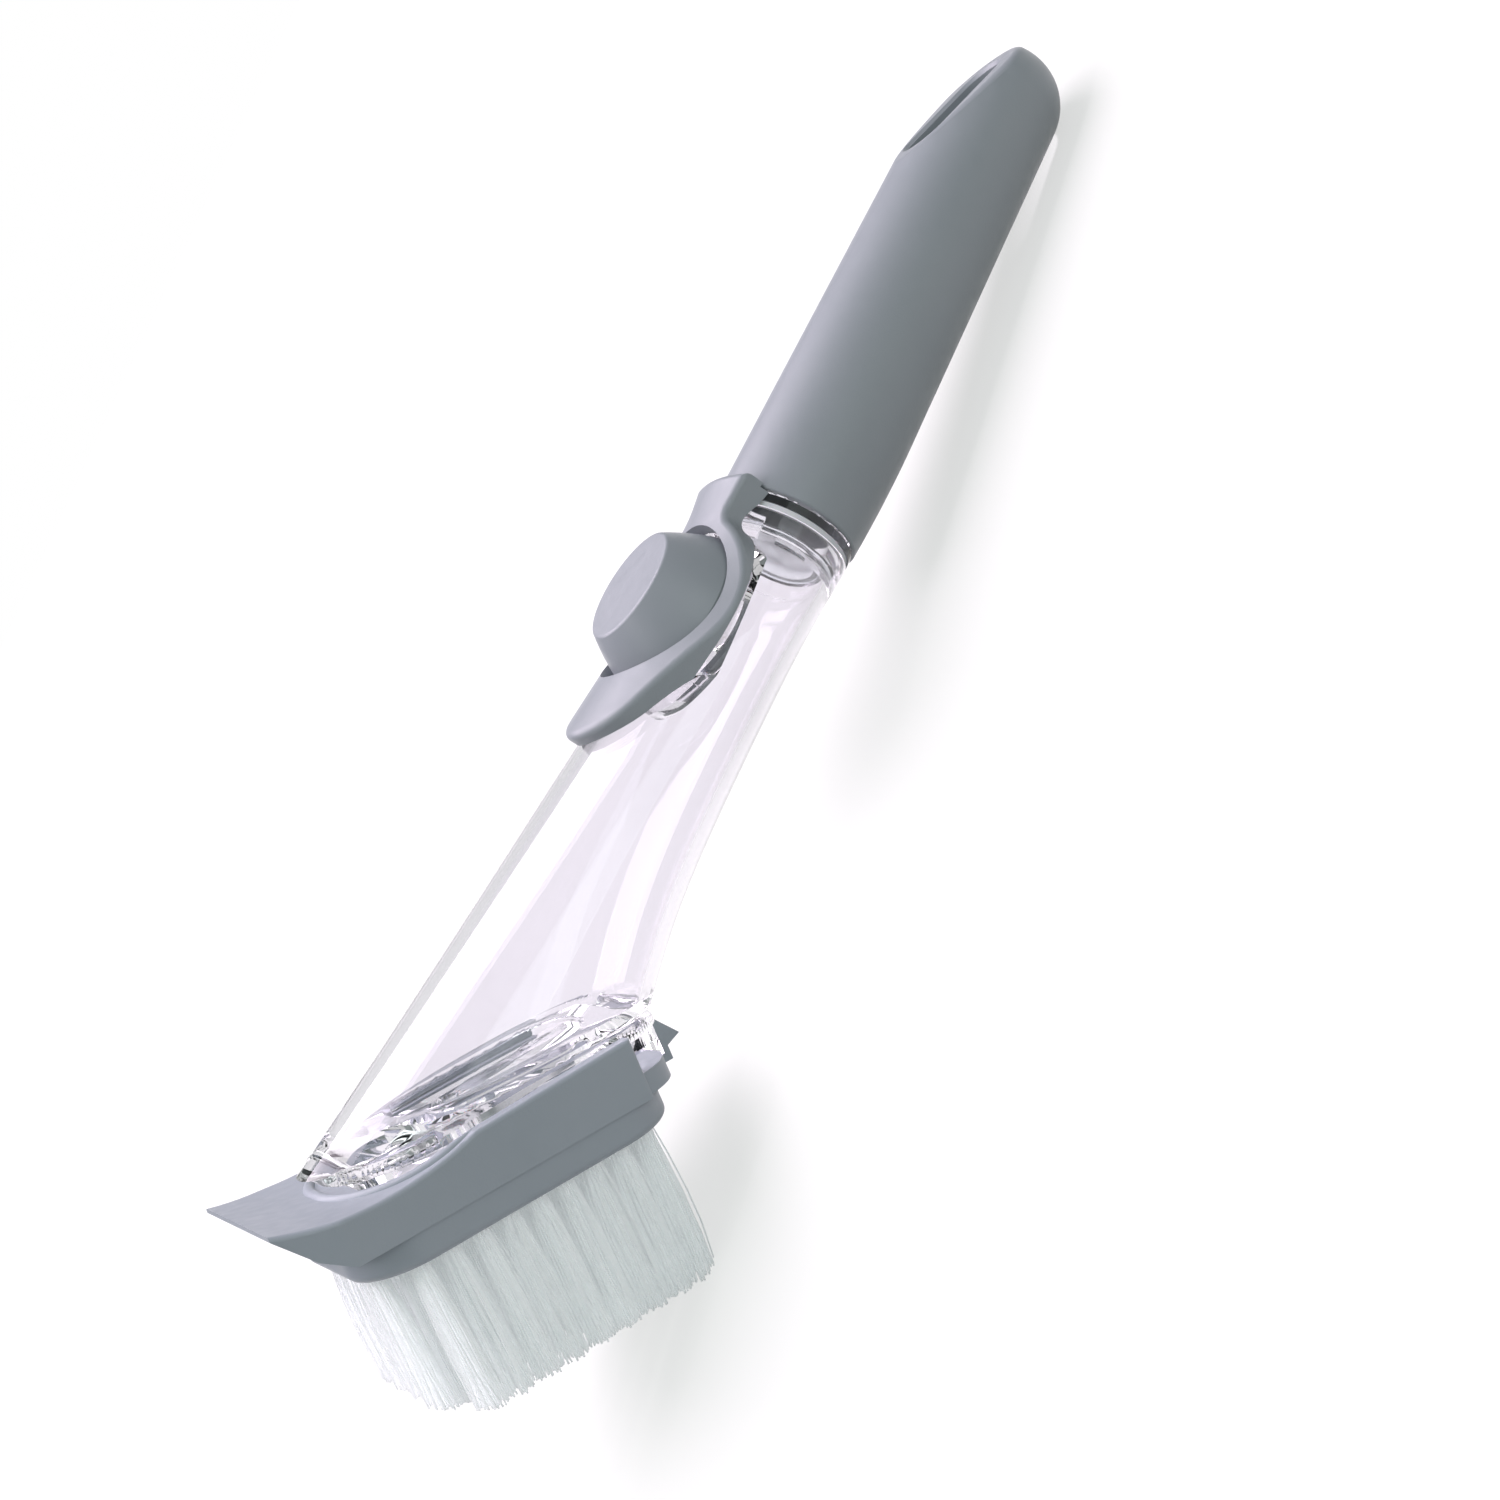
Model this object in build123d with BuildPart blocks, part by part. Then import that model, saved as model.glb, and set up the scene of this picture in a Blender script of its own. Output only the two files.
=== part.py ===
from build123d import *
import os
from math import asin, atan2, copysign, cos, degrees, hypot, pi, radians, sin, tan

# A soap-dispensing dish wand, lying on a counter on the heel of its bristles and the tip of its handle.
# Lengths are in millimetres and angles in degrees. The wand's own axes run along the handle towards
# its tip (x), across it (y) and up through the push button (z), from the centre of the handle's rim.
# The head's own axes run forward to the scraper (u), across (y) and up from the bristles (v), from the
# heel end of the seam below the tray.

# Clearances shared by pieces that meet
weld_fit = 0.05
running_gap = 0.3
sliding_gap = 0.4
overrun = 1.0

# Handle grip
grip_length = 116.5
rim_radius = 15.0
tip_radius = 13.1
tip_rounding = 12.0
bevel_start = 80.0
bevel_angle = 15.0
bevel_edge = 2.0
slot_length = 29.0
slot_width = 11.0
slot_end_margin = 4.5
slot_edge = 0.7
grip_wall = 2.5
grip_socket_depth = 14.0
grip_bore_radius = 10.8
grip_bore_depth = 64.0
rim_edge = 0.5
draw_in = 1.3
draw_in_length = 27.0
draw_in_steps = 3

# Threaded plug between the handle and the reservoir
flange_thickness = 1.9
flange_radius = 13.4
seal_thickness = 1.1
seal_radius = 13.1
plug_length = 4.0
plug_radius = 11.4
plug_bore_radius = 8.2
nose_radius = 9.4
nose_length = 0.5
cap_wall = 1.1
cap_rim_length = 0.6
thread_pitch = 2.4
thread_turns = 0.5
thread_depth = 0.8
thread_root_width = 1.2
thread_crest_width = 0.4
thread_end_margin = 0.9

# Reservoir
body_half_width = 18.0
tube_reach = 156.6
reservoir_wall = 2.2
squareness_shares = (1.0, 0.95, 0.9, 0.87, 0.87, 0.87, 0.87, 0.87, 0.87)
half_width_shares = (0.744, 0.93, 1.0, 1.0, 1.0, 1.0, 1.0, 1.01, 1.02)
crest_shares = (0.744, 0.79, 0.85, 0.952, 1.064, 1.18, 1.30, 1.43, 1.56)
under_shares = (0.744, 0.625, 0.58, 0.588, 0.675, 0.9, 1.12, 1.31, 1.5)

# Button and pump, round the button's axis
button_station = -27.4
button_top_height = 23.3
button_top_radius = 11.3
button_base_radius = 16.7
button_base_height = 12.0
button_bulge = 0.4
button_wall = 1.7
button_edge = 0.8
seat_height = 7.6
seat_thickness = 2.0
port_radius = 12.4
well_wall = 1.5
gasket_thickness = 0.8
gasket_radius = 14.2
collar_thickness = 1.2
collar_wall = 1.3
collar_depth = 2.3
dome_wall = 1.2
dome_crown_radius = 7.5
dome_bead_radius = 13.3
dome_bead_thickness = 1.6

# Bezel
crown_radius = 34.0
crown_height = 17.3
crown_shares = (1.035, 0.971, 1.015, 1.11, 1.19)
crown_spacing = 17.0
bezel_round_radius = 20.0
tongue_station = -44.5
tongue_radius = 13.6
bezel_neck_half_width = 9.4
bezel_waist_half_width = 6.4
bezel_waist_station = -13.0
bezel_waist_fillet = 4.0
bezel_skirt_height = 9.7
bezel_edge = 1.4
opening_gap = 0.35
eave_reach = 0.6

# Head: its place on the wand, then the tray
head_angle = 36.4
head_station = -110.5
head_height = -15.1
tray_length = 57.0
tray_half_width = 23.0
wall_heel_height = 11.1
wall_fore_height = 10.0
wall_fore_reach = 31.0
dip_reach = 52.5
dip_height = 7.7
scraper_reach = 67.2
scraper_height = 10.5
scraper_half_width = 20.0
scraper_edge = 0.9
chin_reach = 62.0
chin_height = 3.4
tray_corner = 5.0
tray_floor = 4.5
tray_edge = 0.8
heel_reach = 8.2
heel_half_width = 20.5
heel_corner = 9.0
heel_height = 3.9
ledge_height = 9.0
pocket_half_width = 17.0
pocket_reach = 49.0

# Foot of the reservoir
foot_height = 11.7
flange_plate = 2.4
foot_reach = 52.3
foot_half_width = 19.5
foot_heel_reach = 10.8
foot_front_corner = 17.5
foot_heel_corner = 12.0
foot_opening_half_width = 12.0
foot_opening_reach = 37.0
foot_opening_corner = 10.0
keel_height = 6.4
keel_half_width = 15.0
keel_wall = 2.0
keel_corner = 5.0
lip_bottom = 1.9
lip_thickness = 1.9
lip_half_width = 8.0
toe_tab_bottom = 5.3
toe_tab_thickness = 0.8
toe_tab_half_width = 6.5
toe_tab_reach = 53.0

# Outlet in the foot and the port through the head
inlet_radius = 3.0
spout_radius = 8.0
spout_bottom = 6.2
valve_radius = 6.0
valve_thickness = 1.2
valve_dome_radius = 3.6
valve_dome_depth = 1.3
valve_slit_width = 0.3
retainer_bore_radius = 4.6
port_bore_radius = 1.5
port_seal_radius = 7.0
port_seal_bore_radius = 4.2

# Release latch
latch_half_width = 7.0
latch_root_reach = 5.0
latch_bottom = 0.0
latch_thickness = 1.5
latch_top = 8.9
latch_stem = 1.2
latch_tip_reach = 15.4
latch_tip_height = 3.7
latch_wedge_base = 2.6

# Bristle block, staples and tufts
block_thickness = 5.5
block_heel_reach = 5.0
block_toe_reach = 56.5
block_inset = 0.6
block_corner = 12.0
block_edge = 1.5
slice_thickness = 1.0
slice_inset = 1.9
tuft_start = 1.95
tuft_pitch = 5.6
tuft_columns = 10
tuft_rows = 6
tuft_row_pitch = 6.6
tuft_hole_radius = 2.1
tuft_hole_depth = 3.2
strand_width = 1.0
strand_ring_radius = 1.6
strands_in_ring = 7
tip_depth = 32.8
heel_trim_depth = 1.8
toe_trim_start = 41.0
toe_trim_depth = 4.5
tip_jag = 0.5
heel_lean = -1.5
toe_lean = 3.0
side_lean = 4.5
rest_flat = 0.5
staple_length = 3.4
staple_height = 1.8
staple_thickness = 0.5


# Where the wand lies: the heel of the tufts and the rounding of the handle's tip both touch the counter
def head_to_wand(u, v):
    """Wand coordinates of a point given in the head's forward and up axes."""
    turn = radians(head_angle)
    x = head_station - u * cos(turn) + v * sin(turn)
    z = head_height + u * sin(turn) + v * cos(turn)
    return x, z


tuft_radius = strand_ring_radius + strand_width / 2
tuft_end = tuft_start + tuft_pitch * (tuft_columns - 1)


def tip_depth_at(u):
    """Depth of a tuft's tips below the seam: level, but rounded off at the heel and more at the toe."""
    heel_share = max(0.0, 1 - (u - tuft_start) / tuft_pitch)
    toe_share = max(0.0, (u - toe_trim_start) / (tuft_end - toe_trim_start))
    return tip_depth - heel_trim_depth * heel_share - toe_trim_depth * toe_share**2


def lean_at(u):
    """Angle by which the tufts lean towards the heel, from their place in the field."""
    return heel_lean + (toe_lean - heel_lean) * (u - tuft_start) / (tuft_end - tuft_start)


def tip_reach_at(u):
    """Forward place of a tuft's tips."""
    return u - (tip_depth_at(u) - block_thickness) * tan(radians(lean_at(u)))


heel_x, heel_z = head_to_wand(tip_reach_at(tuft_start) - tuft_radius, rest_flat - tip_depth_at(tuft_start))
tip_x = grip_length - tip_rounding
grip_taper = (rim_radius - tip_radius) / grip_length
tip_z = grip_taper * tip_x - rim_radius + tip_rounding
tip_span = hypot(tip_x - heel_x, tip_z - heel_z)
rest_tilt = degrees(atan2(tip_z - heel_z, tip_x - heel_x) - asin(tip_rounding / tip_span))


def direction(angle):
    """Unit vector in the plane of symmetry, at an angle above the counter."""
    return (cos(radians(angle)), 0, sin(radians(angle)))


toe_x, toe_z = head_to_wand(tip_reach_at(tuft_end) + tuft_radius, -tip_depth_at(tuft_end))
lean = radians(rest_tilt)
fore_end = toe_x * cos(lean) + toe_z * sin(lean)
aft_end = tip_x * cos(lean) - tip_z * sin(lean) + tip_rounding
rest_x = -(fore_end + aft_end) / 2
rest_z = tip_rounding + tip_x * sin(lean) - tip_z * cos(lean)
wand = Plane(origin=(rest_x, 0, rest_z), x_dir=direction(-rest_tilt), z_dir=direction(90 - rest_tilt))
head = Plane(
    origin=wand.from_local_coords((head_station, 0, head_height)),
    x_dir=direction(180 - head_angle - rest_tilt),
    z_dir=direction(90 - head_angle - rest_tilt),
)
wand_axis = Axis(wand.origin, wand.x_dir)


def across(x, z=0.0):
    """Plane square to the handle at a station, with its local y pointing up the wand."""
    return Plane(origin=wand.from_local_coords((x, 0, z)), x_dir=(0, 1, 0), z_dir=wand.x_dir)


def lengthwise(x=0.0, z=0.0):
    """The wand's plane of symmetry, seen with the handle's tip to the right."""
    return Plane(origin=wand.from_local_coords((x, 0, z)), x_dir=wand.x_dir, z_dir=(0, -1, 0))


def level(x, z):
    """Plane square to the button's axis, at a station and a height."""
    return Plane(origin=wand.from_local_coords((x, 0, z)), x_dir=wand.x_dir, z_dir=wand.z_dir)


def deck(v, u=0.0):
    """Plane level with the head's seam, at a height above it."""
    return Plane(origin=head.from_local_coords((u, 0, v)), x_dir=head.x_dir, z_dir=head.z_dir)


def flank(u=0.0, v=0.0):
    """The head's plane of symmetry, with forward to the right and up as up."""
    return Plane(origin=head.from_local_coords((u, 0, v)), x_dir=head.x_dir, z_dir=(0, 1, 0))


outlet_reach = (tuft_start + tuft_end) / 2
button_axis = Axis(wand.from_local_coords((button_station, 0, 0)), wand.z_dir)


def rounded_plan(heel, toe, half_width, heel_corner_radius, toe_corner_radius):
    """Plan of a piece of the head or foot: a rectangle with its own corner radius at each end."""
    with BuildSketch() as plan:
        with Locations(((heel + toe) / 2, 0)):
            Rectangle(toe - heel, 2 * half_width)
        fillet(plan.vertices().group_by(Axis.X)[0], heel_corner_radius)
        fillet(plan.vertices().group_by(Axis.X)[-1], toe_corner_radius)
    return plan.sketch


def finish(piece, name):
    """Label a finished piece and write it out."""
    piece.part.label = name
    export_step(piece.part, "parts/" + name + ".step")


os.makedirs("parts", exist_ok=True)

# Handle grip: a hollow moulding with a bevelled tip, a long slot through the bevel, and an underside
# that draws in towards the rim
bevel_tilt = radians(bevel_angle)
bevel_top = rim_radius - grip_taper * bevel_start
slot_x = grip_length - (slot_end_margin + slot_length / 2) * cos(bevel_tilt)
slot_z = bevel_top - (slot_x - bevel_start) * tan(bevel_tilt)
slot_plane = Plane(
    origin=wand.from_local_coords((slot_x, 0, slot_z)),
    x_dir=direction(-rest_tilt - bevel_angle),
    z_dir=direction(90 - rest_tilt - bevel_angle),
)
with BuildPart() as drawn_rim:
    for step in range(draw_in_steps + 1):
        station = draw_in_length * step / draw_in_steps
        shift = draw_in / 2 * (1 - step / draw_in_steps) ** 2
        with BuildSketch(across(station, shift)):
            Circle(rim_radius - grip_taper * station - shift)
    loft()

with BuildPart() as handle_grip:
    with BuildSketch(lengthwise()) as grip_profile:
        with BuildLine():
            Polyline((0, 0), (0, rim_radius), (grip_length, tip_radius), (grip_length, 0), close=True)
        make_face()
        fillet(grip_profile.vertices().group_by(Axis.X)[-1].sort_by(Axis.Y)[-1], tip_rounding)
    revolve(axis=wand_axis)
    split(bisect_by=across(draw_in_length), keep=Keep.TOP)
    add(drawn_rim.part)
    with BuildSketch(slot_plane):
        with Locations((0, 0)):
            Rectangle(4 * slot_length, 4 * rim_radius)
    extrude(amount=2 * rim_radius, mode=Mode.SUBTRACT)
    bevel_axis = Axis(slot_plane.origin, slot_plane.z_dir)
    fillet(handle_grip.faces().sort_by(bevel_axis)[-1].edges(), bevel_edge)
    with BuildSketch(slot_plane):
        SlotOverall(slot_length, slot_width)
    extrude(amount=-4 * rim_radius, mode=Mode.SUBTRACT)
    mouth = handle_grip.faces().sort_by(bevel_axis)[-1].inner_wires()
    chamfer(mouth.edges(), slot_edge)
    with BuildSketch(across(0)):
        Circle(rim_radius - grip_wall)
    extrude(amount=grip_socket_depth, mode=Mode.SUBTRACT)
    with BuildSketch(across(0)):
        Circle(grip_bore_radius)
    extrude(amount=grip_bore_depth, mode=Mode.SUBTRACT)
    fillet(handle_grip.faces().sort_by(wand_axis)[0].outer_wire().edges(), rim_edge)
finish(handle_grip, "handle_grip")

# Threaded plug: its shank is pressed into the handle's socket, its flange shows as a clear ring
mouth_x = -flange_thickness - seal_thickness
shank_radius = rim_radius - grip_wall - weld_fit
plug_end = -flange_thickness - plug_length
nose_end = plug_end - nose_length
thread_start = plug_end + thread_end_margin
thread_length = thread_turns * thread_pitch


def thread_ridge(length, gap):
    """Helical ridge round the wand's axis, made wider and higher by a gap to cut its groove."""
    with BuildPart() as ridge:
        with BuildLine() as turns:
            Helix(
                pitch=thread_pitch,
                height=length,
                radius=plug_radius,
                center=wand.from_local_coords((thread_start, 0, 0)),
                direction=wand.x_dir,
            )
        start = turns.line @ 0
        outward = (start - wand.from_local_coords((thread_start, 0, 0))).normalized()
        with BuildSketch(Plane(origin=start, x_dir=outward, z_dir=turns.line % 0)):
            root = thread_root_width / 2 + gap
            crest = thread_crest_width / 2 + gap
            with BuildLine():
                Polyline(
                    (-thread_depth, -root),
                    (0, -root),
                    (thread_depth + gap, -crest),
                    (thread_depth + gap, crest),
                    (0, root),
                    (-thread_depth, root),
                    close=True,
                )
            make_face()
        sweep(is_frenet=True)
    return ridge.part


with BuildPart() as neck_insert:
    with BuildSketch(lengthwise()):
        with BuildLine():
            Polyline(
                (grip_socket_depth - running_gap, plug_bore_radius),
                (grip_socket_depth - running_gap, shank_radius),
                (0, shank_radius),
                (0, flange_radius),
                (-flange_thickness, flange_radius),
                (-flange_thickness, plug_radius),
                (plug_end, plug_radius),
                (plug_end, nose_radius),
                (nose_end, nose_radius),
                (nose_end, plug_bore_radius),
                close=True,
            )
        make_face()
    revolve(axis=wand_axis)
    add(thread_ridge(thread_length, 0.0))
finish(neck_insert, "neck_insert")

# Seal between the plug's flange and the reservoir's mouth
with BuildPart() as neck_seal:
    with BuildSketch(across(mouth_x)):
        Circle(seal_radius)
        Circle(plug_radius + weld_fit, mode=Mode.SUBTRACT)
    extrude(amount=seal_thickness)
finish(neck_seal, "neck_seal")

# Stopper cap pushed over the plug's nose
with BuildPart() as stopper_cap:
    with BuildSketch(across(plug_end - weld_fit)):
        Circle(nose_radius + cap_wall)
    extrude(amount=-(nose_length + cap_rim_length + running_gap))
    with BuildSketch(across(plug_end - weld_fit)):
        Circle(nose_radius + weld_fit)
    extrude(amount=-(nose_length + running_gap), mode=Mode.SUBTRACT)
    fillet(stopper_cap.edges().filter_by(GeomType.CIRCLE).sort_by(wand_axis)[0], cap_rim_length / 2)
finish(stopper_cap, "stopper_cap")

# Reservoir: a tube that widens from the round neck to the slanting foot
section_points = 16
section_spacing = tube_reach / (len(crest_shares) - 1)
section_turns = [2 * pi * step / section_points for step in range(section_points)]


def squared(value, share):
    """Sine or cosine bent towards a squarer outline, where the share is below one."""
    return copysign(abs(value) ** share, value)


def tube(grow):
    """The tube's outer skin through evenly spaced sections, grown outward, or inward below zero."""
    with BuildPart() as skin:
        for row, width in enumerate(half_width_shares):
            crest = crest_shares[row] * body_half_width
            under = under_shares[row] * body_half_width
            half_width = width * body_half_width + grow
            half_height = (crest + under) / 2 + grow
            share = squareness_shares[row]
            with BuildSketch(across(mouth_x - row * section_spacing, (crest - under) / 2)):
                with BuildLine():
                    Spline(
                        *[
                            (half_width * squared(cos(turn), share), half_height * squared(sin(turn), share))
                            for turn in section_turns
                        ],
                        periodic=True,
                    )
                make_face()
        loft()
    return skin.part


outer_tube = tube(0.0)
inner_tube = tube(-reservoir_wall)
bezel_clearance_tube = tube(running_gap)
neck_bore_radius = plug_radius + running_gap

well_radius = button_base_radius + opening_gap
well_end = button_station + well_radius + well_wall
with BuildPart() as well_core:
    with BuildSketch(level(button_station, seat_height - seat_thickness)):
        Circle(well_radius + well_wall)
    extrude(amount=crown_height)
    add(outer_tube, mode=Mode.INTERSECT)

opening_heel = foot_opening_corner - foot_heel_reach
with BuildPart() as cavity:
    add(inner_tube)
    split(bisect_by=deck(foot_height + reservoir_wall), keep=Keep.TOP)
    split(bisect_by=across(well_end), keep=Keep.BOTTOM)

with BuildPart() as reservoir_body:
    add(outer_tube)
    split(bisect_by=deck(foot_height), keep=Keep.TOP)
    add(cavity.part, mode=Mode.SUBTRACT)
    add(well_core.part)
    with BuildSketch(across(mouth_x)):
        Circle(neck_bore_radius)
    extrude(amount=well_end - mouth_x - overrun, mode=Mode.SUBTRACT)
    with BuildSketch(level(button_station, seat_height - seat_thickness)):
        Circle(gasket_radius + well_wall)
    extrude(amount=seat_thickness)
    with BuildSketch(level(button_station, seat_height)):
        Circle(well_radius)
    extrude(amount=crown_height, mode=Mode.SUBTRACT)
    with BuildSketch(level(button_station, seat_height)):
        Circle(port_radius)
    extrude(amount=-2 * seat_thickness, mode=Mode.SUBTRACT)
    with BuildSketch(deck(foot_height)):
        add(
            rounded_plan(
                opening_heel,
                foot_opening_reach,
                foot_opening_half_width,
                foot_opening_corner,
                foot_opening_corner,
            )
        )
    extrude(amount=2 * reservoir_wall, mode=Mode.SUBTRACT)
    add(thread_ridge(thread_length + plug_length, running_gap), mode=Mode.SUBTRACT)
finish(reservoir_body, "reservoir_body")

# Foot plate welded under the reservoir: flange, keel, outlet spout, rear lip and toe tab
with BuildPart() as reservoir_sole:
    with BuildSketch(deck(foot_height)):
        add(rounded_plan(-foot_heel_reach, foot_reach, foot_half_width, foot_heel_corner, foot_front_corner))
    extrude(amount=-flange_plate)
    with BuildSketch(deck(keel_height)) as keel:
        add(rounded_plan(lip_thickness - foot_heel_reach, pocket_reach - sliding_gap, keel_half_width,
                         keel_corner, keel_corner))
        offset(amount=-keel_wall, mode=Mode.SUBTRACT)
    extrude(amount=foot_height - flange_plate - keel_height)
    with BuildSketch(deck(lip_bottom)):
        with Locations((lip_thickness / 2 - foot_heel_reach, 0)):
            Rectangle(lip_thickness, 2 * lip_half_width)
    extrude(amount=foot_height - flange_plate - lip_bottom)
    with BuildSketch(deck(toe_tab_bottom)):
        with Locations(((pocket_reach - sliding_gap - keel_wall + toe_tab_reach) / 2, 0)):
            Rectangle(toe_tab_reach - pocket_reach + sliding_gap + keel_wall, 2 * toe_tab_half_width)
    extrude(amount=toe_tab_thickness)
    with BuildSketch(deck(toe_tab_bottom)):
        with Locations((pocket_reach - sliding_gap - keel_wall / 2, 0)):
            Rectangle(keel_wall, 2 * toe_tab_half_width)
    extrude(amount=foot_height - flange_plate - toe_tab_bottom)
    with BuildSketch(deck(spout_bottom, outlet_reach)):
        Circle(spout_radius)
    extrude(amount=foot_height - spout_bottom)
    with BuildSketch(deck(spout_bottom, outlet_reach)):
        Circle(valve_radius + weld_fit)
    extrude(amount=foot_height - flange_plate - spout_bottom, mode=Mode.SUBTRACT)
    with BuildSketch(deck(foot_height, outlet_reach)):
        Circle(inlet_radius)
    extrude(amount=-2 * flange_plate, mode=Mode.SUBTRACT)
finish(reservoir_sole, "reservoir_sole")

# Outlet valve: a slit silicone dome held in the spout by a pressed ring
valve_seat = foot_height - flange_plate
with BuildPart() as outlet_valve:
    with BuildSketch(deck(valve_seat - valve_thickness, outlet_reach)):
        Circle(valve_radius - running_gap)
    extrude(amount=valve_thickness)
    with BuildSketch(deck(valve_seat - valve_thickness - valve_dome_depth, outlet_reach)):
        Circle(valve_dome_radius)
    extrude(amount=valve_dome_depth)
    with BuildSketch(deck(valve_seat, outlet_reach)):
        Circle(valve_dome_radius - valve_thickness)
    extrude(amount=-valve_thickness, mode=Mode.SUBTRACT)
    with BuildSketch(deck(valve_seat, outlet_reach)):
        Rectangle(valve_dome_radius, valve_slit_width)
    extrude(amount=-valve_thickness - valve_dome_depth, mode=Mode.SUBTRACT)
finish(outlet_valve, "outlet_valve")

with BuildPart() as valve_retainer:
    with BuildSketch(deck(spout_bottom, outlet_reach)):
        Circle(valve_radius)
        Circle(retainer_bore_radius, mode=Mode.SUBTRACT)
    extrude(amount=valve_seat - valve_thickness - spout_bottom)
finish(valve_retainer, "valve_retainer")

# Pump: gasket and collar in the reservoir's round port, with a silicone dome stretched over the collar
gasket_top = seat_height + gasket_thickness
collar_top = gasket_top + collar_thickness
with BuildPart() as collar_gasket:
    with BuildSketch(level(button_station, seat_height)):
        Circle(gasket_radius)
        Circle(port_radius, mode=Mode.SUBTRACT)
    extrude(amount=gasket_thickness)
finish(collar_gasket, "collar_gasket")

collar_bore_radius = port_radius - running_gap - collar_wall
with BuildPart() as pump_collar:
    with BuildSketch(level(button_station, gasket_top)):
        Circle(gasket_radius)
        Circle(collar_bore_radius, mode=Mode.SUBTRACT)
    extrude(amount=collar_thickness)
    with BuildSketch(level(button_station, gasket_top)):
        Circle(port_radius - running_gap)
        Circle(collar_bore_radius, mode=Mode.SUBTRACT)
    extrude(amount=-collar_depth)
finish(pump_collar, "pump_collar")

dome_top = button_top_height - button_wall - running_gap
with BuildPart() as pump_diaphragm:
    with BuildSketch(lengthwise(button_station)):
        with BuildLine():
            Polyline(
                (0, dome_top - dome_wall),
                (dome_crown_radius, dome_top - dome_wall),
                (port_radius - dome_wall, collar_top),
                (dome_bead_radius, collar_top),
                (dome_bead_radius, collar_top + dome_bead_thickness),
                (port_radius, collar_top + dome_bead_thickness),
                (dome_crown_radius + dome_wall, dome_top),
                (0, dome_top),
                close=True,
            )
        make_face()
    revolve(axis=button_axis)
finish(pump_diaphragm, "pump_diaphragm")

# Push button: a thin cap with slanting, slightly bulged sides and a flat top
def button_profile(inset):
    """Half outline of the button from its axis, shrunk by its wall for the hollow inside."""
    base = button_base_radius - inset
    rim = button_top_radius - inset
    top = button_top_height - inset
    skirt = button_base_height + button_wall / 2
    middle = ((base + rim) / 2 + button_bulge, (skirt + top) / 2)
    with BuildSketch() as half:
        with BuildLine():
            Polyline((0, top), (0, button_base_height), (base, button_base_height), (base, skirt))
            ThreePointArc((base, skirt), middle, (rim, top))
            Line((rim, top), (0, top))
        make_face()
    return half.sketch


with BuildPart() as button_cap:
    with BuildSketch(lengthwise(button_station)):
        add(button_profile(0.0))
        add(button_profile(button_wall), mode=Mode.SUBTRACT)
    revolve(axis=button_axis)
    fillet(button_cap.edges().filter_by(GeomType.CIRCLE).sort_by(button_axis)[-1], button_edge)
finish(button_cap, "button_cap")

# Bezel: a crowned saddle with a tongue, open round the button; its neck laps over the handle's rim
with BuildPart() as crown:
    for row, share in enumerate(crown_shares):
        station = eave_reach + overrun - row * crown_spacing
        with BuildSketch(across(station, share * crown_height - crown_radius)):
            Circle(crown_radius)
    loft()

with BuildPart() as bezel:
    with BuildSketch(level(0, bezel_skirt_height)) as bezel_plan:
        with Locations((button_station, 0)):
            Circle(bezel_round_radius)
        with Locations((tongue_station, 0)):
            Circle(tongue_radius)
        make_hull()
        with BuildLine():
            Polyline(
                (eave_reach, -bezel_neck_half_width),
                (eave_reach, bezel_neck_half_width),
                (bezel_waist_station, bezel_waist_half_width),
                (bezel_waist_station, -bezel_waist_half_width),
                close=True,
            )
        make_face()
        waist = bezel_plan.vertices().filter_by_position(
            Axis.X, bezel_waist_station, eave_reach - bezel_edge
        )
        fillet(waist, bezel_waist_fillet)
    extrude(amount=2 * crown_height)
    add(crown.part, mode=Mode.INTERSECT)
    fillet(bezel.faces().sort_by(Axis(wand.origin, wand.z_dir))[-1].edges(), bezel_edge)
    add(bezel_clearance_tube, mode=Mode.SUBTRACT)
    with BuildSketch(across(-running_gap)):
        Circle(rim_radius + running_gap)
    extrude(amount=2 * eave_reach + running_gap, mode=Mode.SUBTRACT)
    with BuildSketch(across(0)):
        Circle(flange_radius + running_gap)
    extrude(amount=mouth_x - overrun, mode=Mode.SUBTRACT)
    with BuildSketch(level(button_station, 0)):
        Circle(well_radius)
    extrude(amount=2 * crown_height, mode=Mode.SUBTRACT)
finish(bezel, "bezel")

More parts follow.
